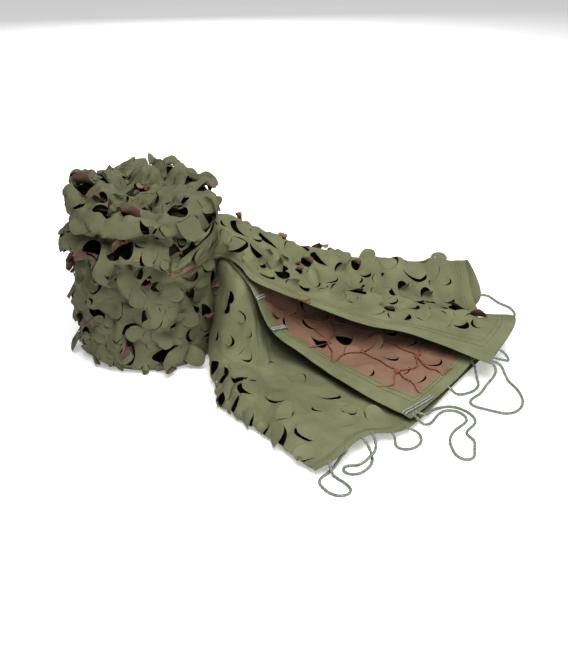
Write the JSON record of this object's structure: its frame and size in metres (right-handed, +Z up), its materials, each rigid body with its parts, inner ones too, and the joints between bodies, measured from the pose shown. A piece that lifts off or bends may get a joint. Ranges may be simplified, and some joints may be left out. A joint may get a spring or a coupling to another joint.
{
  "type": "camouflage net",
  "caption": "Two-sided leaf-cut camouflage net, rolled up and stood on end, with its free end trailing in folds and hemmed edges with braided tie cords.",
  "frame": {"origin": "middle of the roll's flat underside, on the surface it stands on", "axes": "+X to the right in the picture, from the roll along the free end; +Y away from the camera; +Z up, along the roll's own axis"},
  "size_m": [0.864, 0.7659, 0.3325],
  "materials": {
    "green_cloth": "matt coated cloth, green on its face and brown on its back",
    "twine": "matt knotted twine",
    "tie_cord": "matt braided cord",
    "lashing": "matt braided cord"
  },
  "bodies": {
    "root": {"net_roll": "green_cloth", "net_free_end": "green_cloth", "support_net": "twine", "tie_cord_a": "tie_cord", "tie_cord_b": "tie_cord", "tie_cord_c": "tie_cord", "tie_cord_d": "tie_cord", "tie_cord_e": "tie_cord", "tie_cord_f": "tie_cord", "tie_cord_g": "tie_cord", "tie_cord_back": "tie_cord", "lashing_1": "lashing", "lashing_2": "lashing", "lashing_3": "lashing"}
  },
  "joints": []
}
